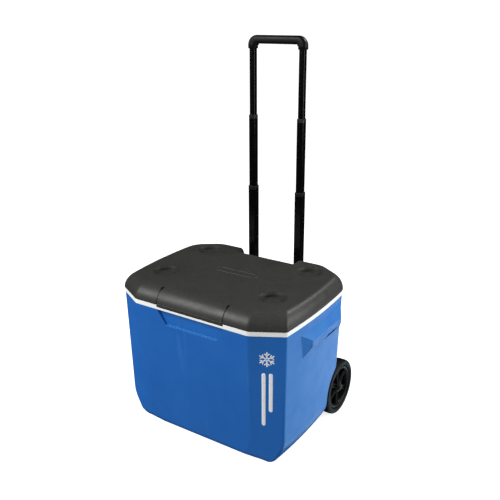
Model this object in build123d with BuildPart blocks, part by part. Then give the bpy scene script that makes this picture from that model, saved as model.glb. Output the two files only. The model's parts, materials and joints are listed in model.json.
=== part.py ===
from build123d import *
import math
import os

# A wheeled cooler box: insulated tub, hinged lid with cup holders, telescoping pull handle, two wheels.
# Millimetres, +Z up. The front faces -Y, the wheels and the handle are at the back, +Y.
# The origin lies on the floor, under the middle of the whole object's box.

os.makedirs("parts", exist_ok=True)

# ---------------------------------------------------------------- driving dimensions
TUB_Y = -17.0                     # the middle of the tub, front to back
GAP = 0.3                         # air left between neighbouring pieces
WALL = 3.0                        # moulded wall of the shells

# Plan of the tub at four heights: z, half-length of the flat front and back, half-width at the
# corners, half-depth, and depth of the corner chamfers.
TUB_SECTIONS = [
    (3.0, 146.0, 230.0, 173.0, 7.5),
    (14.0, 151.0, 242.0, 179.0, 9.5),
    (65.0, 175.0, 269.5, 184.0, 17.0),
    (405.5, 188.0, 275.2, 217.0, 48.0),
]
SIDE_BOW = 8.4                    # the ends bulge outwards by this much
CORNER_RADII = (22.0, 9.0, 60.0)  # of the plan: front flat to chamfer, chamfer to end, and the back
TUB_BASE_Z = TUB_SECTIONS[0][0]
RIM_Z = TUB_SECTIONS[3][0]
SOFT_BREAKS = ((14.0, 6.0), (65.0, 20.0))       # rounded breaks between sections: z, half-height
BREAK_STEPS = (-1.0, -0.5, 0.0, 0.5, 1.0)       # sections over each rounded break, from its middle
FOAM_BREAKS = (20.0, 45.0, 100.0)               # the foam's plainer sections, clear of the axle
FOOT_AT = (187.0, -135.0)
FOOT_SIZE = (76.0, 60.0)
FOOT_R = 8.0

FLANGE_TOP_Z = 418.7
FLANGE_T = 3.0
FLANGE_PROUD = 1.0
SKIRT_T = 4.0
LINER_T = 2.5
LINER_FLOOR_Z = 38.0
LINER_BOTTOM = (150.0, 205.0, 150.0, 12.0)      # flat, corner, depth, chamfer at the floor
LINER_TOP = (171.0, 244.0, 186.5, 42.0)         # the same at the rim
LINER_RADII = (22.0, 22.0, 22.0)
STRIP_T = 10.0                    # thicker strip of the rim under the pull lip

LID_LOW_Z = 419.6
LID_TOP_Z = 462.0
LID_OVERHANG = 2.0
LID_ROUND = 27.0                  # how far the top's edge is drawn in at the ends and the back
LID_FRONT_ROUND = 42.0            # the same at the front
LID_CURVE = 1.9                   # exponent of the rounding, 2 being an ellipse
LID_SECTIONS = 9
GROOVE_W = 2.6                    # moulded grooves up the lid's front, at the ends of the lip
GROOVE_DEPTH = 1.8
GROOVE_END_Y = -150.0
LIP_HALF = 111.0                  # pull lip in the middle of the lid's front edge
LIP_LOW_Z = 413.2
LIP_T = 6.0
LIP_GAP = 0.8
PLUG_LOW_Z = 408.0                # the lid's inner panel plugs this deep into the tub
PLUG_GAP = 4.0
PANEL_Z = 420.2
PANEL_T = 3.0
PANEL_INSET = 5.0
CUP_PLACES = [(184.0, -87.0), (180.0, 129.0)]   # cup holders, from the tub's middle, both sides
CUP_R = 38.5
CUP_STEP_R = 33.0
CUP_STEP = 3.0
CUP_DEPTH = 12.0
NOTCH_HALF = 108.0                # clearance in the lid for the handle behind it
NOTCH_Y = 158.0
NOTCH_FLOOR_Z = 435.0

RECESS_TOP_HALF = 113.0           # finger recess in the tub's front, under the pull lip
RECESS_LOW_HALF = 85.5
RECESS_LOW_Z = 362.0
RECESS_Y = 207.0

GRIP_BASE_X = 270.0               # moulded side handles: y and z of the wedge's root and of its lip
GRIP_BASE = ((-101.0, 290.0), (-124.0, 398.0), (152.0, 398.0), (146.0, 290.0))
LIP_X = 298.0
LIP_FACE = ((-67.0, 340.0), (-67.0, 357.0), (104.0, 357.0), (104.0, 340.0))
POCKET = (272.0, 293.0, 30.0, 92.0, 314.0, 350.0)    # x, y and z limits of the hand pocket

WHEEL_R = 86.0
WHEEL_Y = 167.0
WHEEL_IN_X = 239.5
WHEEL_OUT_X = 277.0
TYRE_ROUND = 7.0
RIM_R = 67.0
RIM_IN_R = 57.0
RIM_SET_IN = 4.0                  # the rim's faces lie this far inside the tyre's
HUB_R = 17.0
HUB_IN_X = 238.5
HUB_OUT_X = 272.0
SPOKES = 6
WEB_X = (250.0, 254.0)            # a closed disc behind the spokes
SPOKE_IN_X = 253.5
SPOKE_T = 16.0
SPOKE_W = 13.0
SPOKE_ROOT = 2.0                  # each end of a spoke runs this far into the hub and the rim
AXLE_R = 6.0
BORE_R = 6.05
AXLE_END_X = 276.0
CAP_R = 13.0
CAP_OUT_X = 280.0
CAP_ROUND = 3.0
CAP_GAP = 0.5
ARCH_R = 90.0
WELL_X = 236.5

TUBE_X = 83.3                     # telescoping handle: tube centres and stages
TUBE_Y = 235.1
TUBE_R = 3.0
TUBE_IN_R = 2.0
FIXED_W, LOWER_W, MIDDLE_W, UPPER_W = 28.4, 25.0, 21.2, 17.6
FIXED_IN, LOWER_IN, MIDDLE_IN, UPPER_IN = 26.0, 22.2, 18.6, 15.2
FIXED_LOW_Z, FIXED_TOP_Z = 100.0, 420.0
LOWER_LOW_Z, LOWER_TOP_Z = 360.0, 664.4
MIDDLE_LOW_Z, MIDDLE_TOP_Z = 604.6, 884.6
UPPER_LOW_Z, UPPER_TOP_Z = 824.6, 1077.0
GUIDE_H = 10.0
PLUG_H = 8.0
BUTTON_R = 3.5
BUTTON_L = 6.0
BUTTON_PROUD = 0.2
BUTTON_ROUND = 0.8
BUTTON_DROPS = (50.0, 49.0, 46.0)               # below the top of the tube around it
GRIP_HALF = 97.0
GRIP_TOP_Z = 1115.0
GRIP_BAR_Z = 1090.0
GRIP_LEG_IN = 70.0
GRIP_DEPTH = 25.0
GRIP_R = 22.0
SPIGOT_W = 15.0
SPIGOT_LOW_Z = 1050.0
PIN_Z = 1067.0
PIN_R = 2.0
PIN_HOLE_R = 2.05
BRACKET_HALF = 104.0
BRACKET_BACK_Y = 252.5
BRACKET_ROUND = 8.0
BRACKET_SOCKET_W = 28.5
UPPER_BRACKET_Z = (370.0, 401.0)
LOWER_BRACKET_Z = (92.0, 128.0)

HINGE_X = 150.0
HINGE_HALF = 20.0
HINGE_Y = 215.0
HINGE_Z = 445.0
KNUCKLE_R = 5.5
KNUCKLE_HALF = 7.0
HINGE_PIN_R = 2.0
HINGE_BORE_R = 2.05
LEAF_T = 3.0
KNUCKLE_WEB_HALF = 4.0
HINGE_POCKET_HALF = 22.0
HINGE_POCKET_Y = 206.0
TUB_LEAF_Y = 218.5
TUB_LEAF_Z = (370.0, 436.0)
LID_LEAF_Z = (427.0, 450.0)

SCREW_R = 2.0
SCREW_HOLE_R = 2.05
SCREW_HEAD_R = 3.6
SCREW_HEAD_T = 1.8
SCREW_L = 18.0
TUB_SCREW_Z, TUB_SCREW_SPREAD = 386.0, 11.0
LID_SCREW_Z, LID_SCREW_SPREAD = 433.0, 14.0
BRACKET_SCREW_X = (-48.0, -16.0, 16.0, 48.0)
LAND = (165.0, 0.2, 97.0, 400.0)  # flat on the back wall: half-width, depth, and z limits
BOSS_HALF = 8.0                   # solid bosses behind the back wall, which the screws bite into
BITE = 1.0                        # pieces of one solid run this far into each other

DRAIN_Y = -60.0                   # drain at the bottom of the left end, in a flat seat
DRAIN_Z = 57.0
DRAIN_R = 8.0
DRAIN_BORE_R = 6.0
DRAIN_FLANGE_R = 14.0
DRAIN_SEAT_X = 256.0
DRAIN_SEAT_R = 20.0
DRAIN_GASKET_T = 1.5
DRAIN_NUT_T = 4.0
DRAIN_OUT_X = -269.0
DRAIN_CAP_R = 12.0
DRAIN_NUT_R = 14.0
DRAIN_FIT = 0.05

SIDES = (-1, 1)


# ---------------------------------------------------------------- shared shapes
def straight_section(z):
    """The tub's plan on straight lines between sections: flat, corner, depth, chamfer."""
    rows = TUB_SECTIONS
    low, high = next((a, b) for a, b in zip(rows, rows[1:]) if z <= b[0] or b is rows[-1])
    t = (z - low[0]) / (high[0] - low[0])
    return [a + (b - a) * t for a, b in zip(low[1:], high[1:])]


def section_at(z):
    """The tub's plan at a height, with the breaks between the sections rounded off."""
    for middle, half in SOFT_BREAKS:
        if abs(z - middle) < half:
            t = (z - middle + half) / (2 * half)
            ends_and_corner = (middle - half, middle, middle + half)
            rows = zip(*(straight_section(height) for height in ends_and_corner))
            return [(1 - t) ** 2 * a + 2 * t * (1 - t) * b + t**2 * c for a, b, c in rows]
    return straight_section(z)


TUB_BREAKS = [z + half * step for z, half in SOFT_BREAKS for step in BREAK_STEPS]


def wall_y(z):
    """How far the flat front and back stand from the tub's middle at a height."""
    return section_at(z)[2]


def outline(flat, corner, front, back, chamfer, inset=0.0, radii=CORNER_RADII):
    """Flat front and back, chamfered corners and bowed ends, around the tub's middle."""
    fy, by = TUB_Y - front, TUB_Y + back
    fc, bc = fy + chamfer, by - chamfer
    with BuildLine() as border:
        Polyline((-corner, fc), (-flat, fy), (flat, fy), (corner, fc))
        ThreePointArc((corner, fc), (corner + SIDE_BOW, TUB_Y), (corner, bc))
        Polyline((corner, bc), (flat, by), (-flat, by), (-corner, bc))
        ThreePointArc((-corner, bc), (-corner - SIDE_BOW, TUB_Y), (-corner, fc))
    make_face(border.line)
    if inset:
        offset(amount=-inset, kind=Kind.INTERSECTION)
    front_flat, front_end, rear = radii
    fillet(vertices().sort_by(Axis.Y)[4:], rear)
    fillet(vertices().sort_by(Axis.Y)[2:4], front_end)
    fillet(vertices().sort_by(Axis.Y)[:2], front_flat)


def tub_plan(z, inset=0.0):
    flat, corner, depth, chamfer = section_at(z)
    outline(flat, corner, depth, depth, chamfer, inset)


def tub_stack(base, inset=0.0, top=RIM_Z, breaks=TUB_BREAKS):
    """A solid with the tub's outer shape between two heights, drawn in by an inset."""
    sections = []
    for z in [base] + [z for z in breaks if z > base + BITE] + [top]:
        with BuildSketch(Plane.XY.offset(z)) as section:
            tub_plan(z, inset)
        sections.append(section.sketch)
    loft(sections, ruled=True)


def lid_stack(inset=0.0, top=LID_TOP_Z, mode=Mode.ADD):
    """A solid with the lid's outer shape, rounded towards the top and drawn in by an inset."""
    flat, corner, depth, chamfer = section_at(RIM_Z)
    sections = []
    for step in range(LID_SECTIONS + 1):
        rise = math.sin(math.pi / 2 * step / LID_SECTIONS)
        drawn_in = 1 - (1 - rise**LID_CURVE) ** (1 / LID_CURVE)
        side, front = LID_ROUND * drawn_in, LID_FRONT_ROUND * drawn_in
        with BuildSketch(Plane.XY.offset(LID_LOW_Z + (top - LID_LOW_Z) * rise)) as section:
            outline(
                flat - side / 4, corner - side, depth - front, depth - side, chamfer,
                inset - LID_OVERHANG,
            )
        sections.append(section.sketch)
    loft(sections, ruled=True, mode=mode)


def block(x, y, z, mode=Mode.ADD):
    """A box given by its x, y and z limits, y from the tub's middle."""
    with BuildSketch(Plane.XY.offset(z[0])) as base:
        with Locations(((x[0] + x[1]) / 2, TUB_Y + (y[0] + y[1]) / 2)):
            Rectangle(x[1] - x[0], y[1] - y[0])
    extrude(base.sketch, amount=z[1] - z[0], mode=mode)


def cut_box(x, y, z):
    block(x, y, z, Mode.SUBTRACT)


def cut_front_recess(grow=0.0):
    """Finger recess in the front wall and flange."""
    with BuildSketch(Plane.XZ.offset(-(TUB_Y - RECESS_Y + grow))) as recess:
        with BuildLine() as border:
            Polyline(
                (-RECESS_TOP_HALF, RIM_Z + 2 * ARCH_R), (-RECESS_TOP_HALF, RIM_Z),
                (-RECESS_LOW_HALF, RECESS_LOW_Z), (RECESS_LOW_HALF, RECESS_LOW_Z),
                (RECESS_TOP_HALF, RIM_Z), (RECESS_TOP_HALF, RIM_Z + 2 * ARCH_R), close=True,
            )
        make_face(border.line)
        if grow:
            offset(amount=grow, kind=Kind.INTERSECTION)
    extrude(recess.sketch, amount=2 * RECESS_Y, mode=Mode.SUBTRACT)


def cut_wheel_wells(grow=0.0):
    """Arched wells at the lower back corners, open to the side, the back and below."""
    reach = ARCH_R + grow
    for side in SIDES:
        with BuildSketch(Plane.YZ.offset(side * (WELL_X - grow))) as arch:
            with Locations((TUB_Y + WHEEL_Y, WHEEL_R)):
                Circle(reach)
            with Locations((TUB_Y + WHEEL_Y, WHEEL_R + reach)):
                Rectangle(2 * reach, 3 * reach, align=(Align.MIN, Align.MAX))
        extrude(arch.sketch, amount=side * WELL_X, mode=Mode.SUBTRACT)


def cut_hand_pockets(grow=0.0):
    """Hand pockets under the lips of the side handles."""
    x_in, x_out, y_from, y_to, z_from, z_to = POCKET
    for side in SIDES:
        x = sorted((side * (x_in - grow), side * x_out))
        cut_box(x, (y_from - grow, y_to + grow), (z_from - grow, z_to + grow))


def cut_bores_along_x(radius):
    """Tunnel for the axle."""
    with BuildSketch(Plane.YZ.offset(-GRIP_BASE_X)) as bore:
        with Locations((TUB_Y + WHEEL_Y, WHEEL_R)):
            Circle(radius)
    extrude(bore.sketch, amount=2 * GRIP_BASE_X, mode=Mode.SUBTRACT)


def cut_drain(radius):
    """Drain hole through the left end wall."""
    with BuildSketch(Plane.YZ.offset(-LIP_X)) as bore:
        with Locations((TUB_Y + DRAIN_Y, DRAIN_Z)):
            Circle(radius)
    extrude(bore.sketch, amount=LIP_X - LINER_BOTTOM[0], mode=Mode.SUBTRACT)


def cut_drain_seat(grow=0.0):
    """Round flat seat for the drain, sunk into the left end wall."""
    with BuildSketch(Plane.YZ.offset(-DRAIN_SEAT_X + grow)) as seat:
        with Locations((TUB_Y + DRAIN_Y, DRAIN_Z)):
            Circle(DRAIN_SEAT_R + grow)
    extrude(seat.sketch, amount=-DRAIN_SEAT_X, mode=Mode.SUBTRACT)


def along_y(places, y_from, y_to, radius, mode=Mode.ADD):
    """Round bars or bores along Y at a list of (x, z) places, y from the tub's middle."""
    with BuildSketch(Plane.XZ.offset(-(TUB_Y + y_to))) as ends:
        with Locations(places):
            Circle(radius)
    extrude(ends.sketch, amount=y_to - y_from, mode=mode)


def screw_pairs(spread, z):
    """Screw places to both sides of each hinge's middle."""
    return [(side * HINGE_X + shift, z) for side in SIDES for shift in (-spread, spread)]


TUB_HINGE_SCREWS = screw_pairs(TUB_SCREW_SPREAD, TUB_SCREW_Z)
LID_HINGE_SCREWS = screw_pairs(LID_SCREW_SPREAD, LID_SCREW_Z)
BRACKET_SCREWS = [
    (x, sum(heights) / 2)
    for heights in (UPPER_BRACKET_Z, LOWER_BRACKET_Z) for x in BRACKET_SCREW_X
]


HINGE_SCREW_Y = TUB_LEAF_Y + LEAF_T              # the planes that the screws' heads rest on
UPPER_SCREW_Y = wall_y(UPPER_BRACKET_Z[1]) + 2 * WALL
LOWER_SCREW_Y = wall_y(LOWER_BRACKET_Z[1]) + 2 * WALL
UPPER_SCREWS = BRACKET_SCREWS[:len(BRACKET_SCREW_X)]
LOWER_SCREWS = BRACKET_SCREWS[len(BRACKET_SCREW_X):]
SCREW_ROWS = (
    (TUB_HINGE_SCREWS[:2], HINGE_SCREW_Y), (TUB_HINGE_SCREWS[2:], HINGE_SCREW_Y),
    (UPPER_SCREWS, UPPER_SCREW_Y), (LOWER_SCREWS, LOWER_SCREW_Y),
)


def cut_bosses(grow=0.0):
    """Leaves out the blocks behind the back wall that each row of screws bites into."""
    reach = BOSS_HALF + grow
    for places, head_y in SCREW_ROWS:
        x = (places[0][0] - reach, places[-1][0] + reach)
        z = places[0][1]
        cut_box(x, (head_y - SCREW_L - WALL - grow, TUBE_Y), (z - reach, z + reach))


def cut_back_land():
    """A shallow true flat on the back wall, which the brackets and hinges are screwed to."""
    half, depth, low, high = LAND
    with BuildSketch(Plane.YZ.offset(-half)) as land:
        with BuildLine() as border:
            Polyline(
                (TUB_Y + wall_y(low) - depth, low), (TUB_Y + wall_y(high) - depth, high),
                (TUB_Y + TUBE_Y, high), (TUB_Y + TUBE_Y, low), close=True,
            )
        make_face(border.line)
    extrude(land.sketch, amount=2 * half, mode=Mode.SUBTRACT)


def cut_screw_holes():
    """Blind holes that end in the bosses."""
    for places, head_y in SCREW_ROWS:
        for place in places:
            along_y([place], head_y - SCREW_L - GAP, TUBE_Y, SCREW_HOLE_R, Mode.SUBTRACT)


# ---------------------------------------------------------------- tub
with BuildPart() as shell_cavity:
    tub_stack(TUB_BASE_Z + WALL, WALL)
    with BuildSketch(Plane.XY.offset(RIM_Z)):
        tub_plan(RIM_Z, WALL)
    extrude(amount=WALL)
    cut_wheel_wells(WALL)
    cut_front_recess(WALL)
    cut_hand_pockets(WALL)
    cut_drain_seat(WALL)
    cut_bosses()

with BuildPart() as tub_shell:
    tub_stack(TUB_BASE_Z)
    for side in SIDES:
        for x, corners in ((GRIP_BASE_X, GRIP_BASE), (LIP_X, LIP_FACE)):
            with BuildSketch(Plane.YZ.offset(side * x)):
                with BuildLine():
                    Polyline([(TUB_Y + y, z) for y, z in corners], close=True)
                make_face()
        loft(ruled=True)
    cut_back_land()
    cut_screw_holes()
    add(shell_cavity.part, mode=Mode.SUBTRACT)
    cut_wheel_wells()
    cut_front_recess()
    cut_hand_pockets()
    # moulded feet under the front corners
    for side in SIDES:
        with BuildSketch():
            with Locations((side * FOOT_AT[0], TUB_Y + FOOT_AT[1])):
                RectangleRounded(*FOOT_SIZE, FOOT_R)
        extrude(amount=TUB_BASE_Z + BITE)
    cut_bores_along_x(BORE_R)
    cut_drain_seat()
    cut_drain(DRAIN_R + GAP)
tub_shell.part.label = "tub_shell"
export_step(tub_shell.part, "parts/tub_shell.step")


def liner_plan(z, inset=0.0, grow=0.0):
    t = (z - LINER_FLOOR_Z) / (FLANGE_TOP_Z - LINER_FLOOR_Z)
    flat, corner, depth, chamfer = [a + (b - a) * t for a, b in zip(LINER_BOTTOM, LINER_TOP)]
    radii = [radius - inset for radius in LINER_RADII]
    outline(flat, corner, depth, depth, chamfer, inset - grow, radii)


def liner_stack(low, high, inset=0.0, grow=0.0):
    sections = []
    for z in (low, high):
        with BuildSketch(Plane.XY.offset(z)) as section:
            liner_plan(z, inset, grow)
        sections.append(section.sketch)
    loft(sections, ruled=True)


with BuildPart() as liner_hollow:
    liner_stack(LINER_FLOOR_Z + LINER_T, FLANGE_TOP_Z + WALL, LINER_T)

with BuildPart() as inner_liner:
    with BuildSketch(Plane.XY.offset(RIM_Z + GAP)):
        tub_plan(RIM_Z, -FLANGE_PROUD)
    extrude(amount=FLANGE_TOP_Z - RIM_Z - GAP)
    with BuildSketch(Plane.XY.offset(RIM_Z + GAP)) as inside_skirt:
        tub_plan(RIM_Z, SKIRT_T - FLANGE_PROUD)
    skirt_height = FLANGE_TOP_Z - FLANGE_T - RIM_Z - GAP
    extrude(inside_skirt.sketch, amount=skirt_height, mode=Mode.SUBTRACT)
    # a thicker strip under the pull lip, with a notch that the lip drops into
    strip_half = LIP_HALF + SKIRT_T
    front_y = -wall_y(RIM_Z)
    strip_y = (front_y - FLANGE_PROUD, front_y + STRIP_T)
    block((-strip_half, strip_half), strip_y, (RIM_Z + GAP, FLANGE_TOP_Z))
    notch_half = LIP_HALF + LIP_GAP
    notch_y = front_y - LID_OVERHANG + LIP_T + LIP_GAP
    cut_box((-notch_half, notch_half), (-TUBE_Y, notch_y), (LIP_LOW_Z - LIP_GAP, FLANGE_TOP_Z + BITE))
    liner_stack(LINER_FLOOR_Z, FLANGE_TOP_Z)
    add(liner_hollow.part, mode=Mode.SUBTRACT)
    cut_drain(DRAIN_R + GAP)
inner_liner.part.label = "inner_liner"
export_step(inner_liner.part, "parts/inner_liner.step")

with BuildPart() as liner_clearance:
    liner_stack(LINER_FLOOR_Z - GAP, FLANGE_TOP_Z + WALL, grow=GAP)

with BuildPart() as tub_foam:
    tub_stack(TUB_BASE_Z + WALL + GAP, WALL + GAP, RIM_Z - GAP, FOAM_BREAKS)
    add(liner_clearance.part, mode=Mode.SUBTRACT)
    cut_wheel_wells(WALL + GAP)
    cut_front_recess(WALL + GAP)
    cut_hand_pockets(WALL + GAP)
    cut_bores_along_x(AXLE_R + WALL)
    cut_drain_seat(WALL + GAP)
    cut_drain(DRAIN_R + WALL)
    cut_bosses(GAP)
tub_foam.part.label = "tub_foam"
export_step(tub_foam.part, "parts/tub_foam.step")


# ---------------------------------------------------------------- lid
def cut_lid_recesses(grow=0.0):
    """Cup holders, handle notch and hinge pockets, cut into the lid from above and behind."""
    top = Plane.XY.offset(LID_TOP_Z)
    cups = [(side * x, TUB_Y + y) for side in SIDES for x, y in CUP_PLACES]
    for radius, depth in ((CUP_R, CUP_STEP), (CUP_STEP_R, CUP_DEPTH)):
        with BuildSketch(top) as rings:
            with Locations(cups):
                Circle(radius + grow)
        extrude(rings.sketch, amount=-(depth + grow), mode=Mode.SUBTRACT)
    high = LID_TOP_Z + WALL
    back = TUBE_Y
    cut_box((-NOTCH_HALF - grow, NOTCH_HALF + grow), (NOTCH_Y - grow, back), (NOTCH_FLOOR_Z - grow, high))
    half = HINGE_POCKET_HALF + grow
    for side in SIDES:
        x = (side * HINGE_X - half, side * HINGE_X + half)
        cut_box(x, (HINGE_POCKET_Y - grow, back), (LIP_LOW_Z, high))


with BuildPart() as lid_cavity:
    lid_stack(WALL, LID_TOP_Z - WALL)
    cut_lid_recesses(WALL)

with BuildPart() as lid_grooves:
    for side in SIDES:
        x = (side * LIP_HALF - GROOVE_W / 2, side * LIP_HALF + GROOVE_W / 2)
        block(x, (-TUBE_Y, GROOVE_END_Y), (LID_LOW_Z, LID_TOP_Z + BITE))
    lid_stack(GROOVE_DEPTH, mode=Mode.SUBTRACT)

with BuildPart() as lid_shell:
    lid_stack()
    add(lid_grooves.part, mode=Mode.SUBTRACT)
    add(lid_cavity.part, mode=Mode.SUBTRACT)
    cut_lid_recesses()
    with BuildSketch(Plane.XY.offset(LIP_LOW_Z)):
        with Locations((0, TUB_Y - wall_y(RIM_Z) - LID_OVERHANG)):
            Rectangle(2 * LIP_HALF, LIP_T, align=(Align.CENTER, Align.MIN))
    extrude(amount=LID_LOW_Z - LIP_LOW_Z + WALL)
    along_y(LID_HINGE_SCREWS, NOTCH_Y, HINGE_Y, SCREW_HOLE_R, Mode.SUBTRACT)
lid_shell.part.label = "lid_shell"
export_step(lid_shell.part, "parts/lid_shell.step")

with BuildPart() as lid_panel:
    with BuildSketch(Plane.XY.offset(PANEL_Z)):
        tub_plan(RIM_Z, PANEL_INSET)
    extrude(amount=PANEL_T)
    with BuildSketch(Plane.XY.offset(PLUG_LOW_Z)):
        liner_plan(FLANGE_TOP_Z, LINER_T + PLUG_GAP)
    extrude(amount=PANEL_Z - PLUG_LOW_Z)
    half = HINGE_POCKET_HALF + WALL + GAP
    for side in SIDES:
        x = (side * HINGE_X - half, side * HINGE_X + half)
        cut_box(x, (HINGE_POCKET_Y - WALL - GAP, TUBE_Y), (PANEL_Z - BITE, PANEL_Z + PANEL_T + BITE))
lid_panel.part.label = "lid_panel"
export_step(lid_panel.part, "parts/lid_panel.step")

with BuildPart() as lid_foam:
    lid_stack(WALL + GAP, LID_TOP_Z - WALL - GAP)
    cut_lid_recesses(WALL + GAP)
    cut_box((-LIP_X, LIP_X), (-TUBE_Y, TUBE_Y), (LIP_LOW_Z, PANEL_Z + PANEL_T + GAP))
    along_y(LID_HINGE_SCREWS, NOTCH_Y, HINGE_Y, SCREW_HOLE_R, Mode.SUBTRACT)
lid_foam.part.label = "lid_foam"
export_step(lid_foam.part, "parts/lid_foam.step")


# ---------------------------------------------------------------- hinges
def knuckle(x_from, x_to, radius, mode=Mode.ADD):
    """A round bar or bore along X on the hinge axis."""
    with BuildSketch(Plane.YZ.offset(x_from)) as end:
        with Locations((TUB_Y + HINGE_Y, HINGE_Z)):
            Circle(radius)
    extrude(end.sketch, amount=x_to - x_from, mode=mode)


for side, name in zip(SIDES, ("left", "right")):
    middle = side * HINGE_X
    ends = (middle - HINGE_HALF, middle + HINGE_HALF)
    core = (middle - KNUCKLE_HALF, middle + KNUCKLE_HALF)
    low, high = TUB_LEAF_Z
    outer_y = TUB_LEAF_Y + LEAF_T

    with BuildPart() as tub_leaf:
        with BuildSketch(Plane.YZ.offset(ends[0])):
            with BuildLine():
                Polyline(
                    (TUB_Y + wall_y(low) + GAP, low),
                    (TUB_Y + wall_y(RIM_Z - GAP) + GAP, RIM_Z - GAP),
                    (TUB_Y + TUB_LEAF_Y, RIM_Z - GAP),
                    (TUB_Y + TUB_LEAF_Y, high),
                    (TUB_Y + outer_y, high),
                    (TUB_Y + outer_y, low), close=True,
                )
            make_face()
        extrude(amount=2 * HINGE_HALF)
        block(core, (HINGE_Y, outer_y), (high - BITE, HINGE_Z))
        knuckle(*core, KNUCKLE_R)
        knuckle(*ends, HINGE_BORE_R, Mode.SUBTRACT)
        along_y(TUB_HINGE_SCREWS, NOTCH_Y, TUBE_Y, SCREW_HOLE_R, Mode.SUBTRACT)
    tub_leaf.part.label = f"hinge_tub_leaf_{name}"
    export_step(tub_leaf.part, f"parts/hinge_tub_leaf_{name}.step")

    with BuildPart() as lid_leaf:
        low, high = LID_LEAF_Z
        plate_y = (HINGE_POCKET_Y + GAP, HINGE_POCKET_Y + GAP + LEAF_T)
        block(ends, plate_y, (low, high))
        for span in ((ends[0], core[0] - GAP), (core[1] + GAP, ends[1])):
            knuckle(*span, KNUCKLE_R)
            web_z = (HINGE_Z - KNUCKLE_WEB_HALF, HINGE_Z + KNUCKLE_WEB_HALF)
            block(span, (plate_y[1] - BITE, HINGE_Y), web_z)
        knuckle(*ends, HINGE_BORE_R, Mode.SUBTRACT)
        along_y(LID_HINGE_SCREWS, NOTCH_Y, HINGE_Y, SCREW_HOLE_R, Mode.SUBTRACT)
    lid_leaf.part.label = f"hinge_lid_leaf_{name}"
    export_step(lid_leaf.part, f"parts/hinge_lid_leaf_{name}.step")

    with BuildPart() as hinge_pin:
        knuckle(*ends, HINGE_PIN_R)
    hinge_pin.part.label = f"hinge_pin_{name}"
    export_step(hinge_pin.part, f"parts/hinge_pin_{name}.step")


# ---------------------------------------------------------------- telescoping handle
TUBES = [(side * TUBE_X, TUB_Y + TUBE_Y) for side in SIDES]


def square_bars(width, radius, low, high, mode=Mode.ADD, places=TUBES):
    """Rounded square bars along Z."""
    with BuildSketch(Plane.XY.offset(low)) as ends:
        with Locations(places):
            RectangleRounded(width, width, radius)
    extrude(ends.sketch, amount=high - low, mode=mode)


def button_holes(z, radius, places):
    """Round holes through the inward faces of the tubes."""
    for x, y in places:
        inward = -1 if x > 0 else 1
        with BuildSketch(Plane.YZ.offset(x)) as hole:
            with Locations((y, z)):
                Circle(radius)
        extrude(hole.sketch, amount=inward * FIXED_W, mode=Mode.SUBTRACT)


# name, outer width, inner width, lower end, upper end of the stage, and the buttons' heights:
# those it carries and those it shows through its own holes
STAGE_TOPS = (FIXED_TOP_Z, LOWER_TOP_Z, MIDDLE_TOP_Z)
BUTTON_Z = [top - drop for top, drop in zip(STAGE_TOPS, BUTTON_DROPS)]
STAGES = [
    ("fixed", FIXED_W, FIXED_IN, FIXED_LOW_Z, FIXED_TOP_Z - GUIDE_H, [BUTTON_Z[0]]),
    ("lower", LOWER_W, LOWER_IN, LOWER_LOW_Z, LOWER_TOP_Z - GUIDE_H, BUTTON_Z[0:2]),
    ("middle", MIDDLE_W, MIDDLE_IN, MIDDLE_LOW_Z, MIDDLE_TOP_Z - GUIDE_H, BUTTON_Z[1:3]),
    ("upper", UPPER_W, UPPER_IN, UPPER_LOW_Z, UPPER_TOP_Z, [BUTTON_Z[2]]),
]
for stage, width, bore, low, high, buttons in STAGES:
    for place, name in zip(TUBES, ("left", "right")):
        with BuildPart() as tube:
            square_bars(width, TUBE_R, low, high, places=[place])
            square_bars(bore, TUBE_IN_R, low, high, Mode.SUBTRACT, [place])
            for z in buttons:
                button_holes(z, BUTTON_R + GAP, [place])
            if stage == "upper":
                along_y([(place[0], PIN_Z)], NOTCH_Y, 2 * TUBE_Y, PIN_HOLE_R, Mode.SUBTRACT)
        tube.part.label = f"{stage}_tube_{name}"
        export_step(tube.part, f"parts/{stage}_tube_{name}.step")

# guide rings on the upper ends and plugs in the lower ends, one node for each pair
for (stage, width, bore, low, high, buttons), inner in zip(STAGES, (LOWER_W, MIDDLE_W, UPPER_W)):
    with BuildPart() as guides:
        square_bars(width, TUBE_R, high, high + GUIDE_H)
        square_bars(inner + 2 * GAP, TUBE_R, high, high + GUIDE_H, Mode.SUBTRACT)
    guides.part.label = f"{stage}_tube_guides"
    export_step(guides.part, f"parts/{stage}_tube_guides.step")

for (stage, width, bore, low, high, buttons), outer in zip(STAGES[1:], (FIXED_IN, LOWER_IN, MIDDLE_IN)):
    with BuildPart() as plugs:
        square_bars(outer - 2 * GAP, TUBE_IN_R, low - PLUG_H, low)
    plugs.part.label = f"{stage}_tube_end_plugs"
    export_step(plugs.part, f"parts/{stage}_tube_end_plugs.step")

# spring buttons: each sits in the inner tube and shows through the hole in the tube around it
for z, (stage, width, bore, low, high, buttons) in zip(BUTTON_Z, STAGES[1:]):
    for side, name in zip(SIDES, ("left", "right")):
        face = side * (TUBE_X - width / 2 - BUTTON_PROUD)
        with BuildPart() as button:
            with BuildSketch(Plane.YZ.offset(face)):
                with Locations((TUB_Y + TUBE_Y, z)):
                    Circle(BUTTON_R)
            extrude(amount=side * BUTTON_L)
            rims = button.edges().filter_by(GeomType.CIRCLE).sort_by(Axis.X)
            fillet(rims[0 if side > 0 else -1], BUTTON_ROUND)
        button.part.label = f"{stage}_button_{name}"
        export_step(button.part, f"parts/{stage}_button_{name}.step")

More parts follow.
